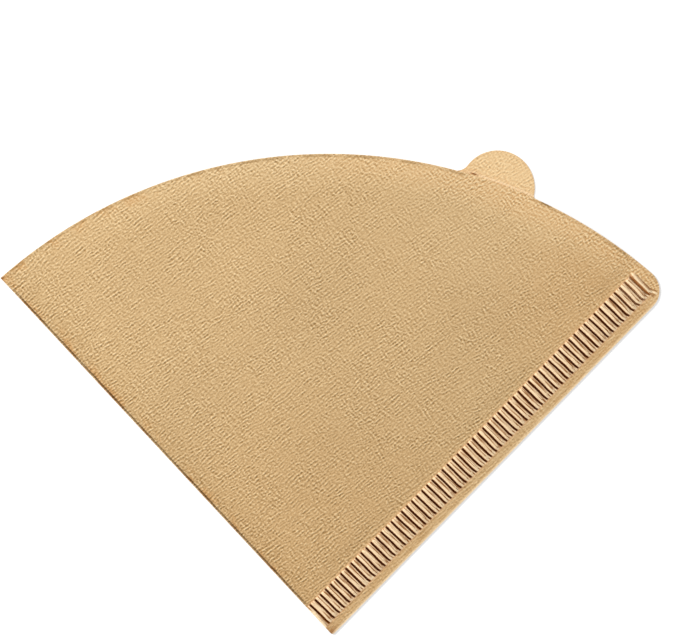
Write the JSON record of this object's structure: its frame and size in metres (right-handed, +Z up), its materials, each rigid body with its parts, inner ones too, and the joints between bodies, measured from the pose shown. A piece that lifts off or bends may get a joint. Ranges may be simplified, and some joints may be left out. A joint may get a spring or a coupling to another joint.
{
  "type": "cone coffee filter",
  "caption": "Flat-folded cone coffee filter of brown crepe paper: a sector with one creased edge, one crimped ribbed seam, an arched open mouth and a round pull tab.",
  "frame": {"origin": "middle of the part's box, on the underside of the back ply", "axes": "+Y from the tip to the mouth along the middle of the sector, +X towards the seam, +Z up from the table, towards the ribbed front"},
  "size_m": [0.1716, 0.1264, 0.0024],
  "materials": {
    "crepe_paper": "matt unbleached crepe"
  },
  "bodies": {
    "root": {"filter_paper": "crepe_paper"}
  },
  "joints": []
}
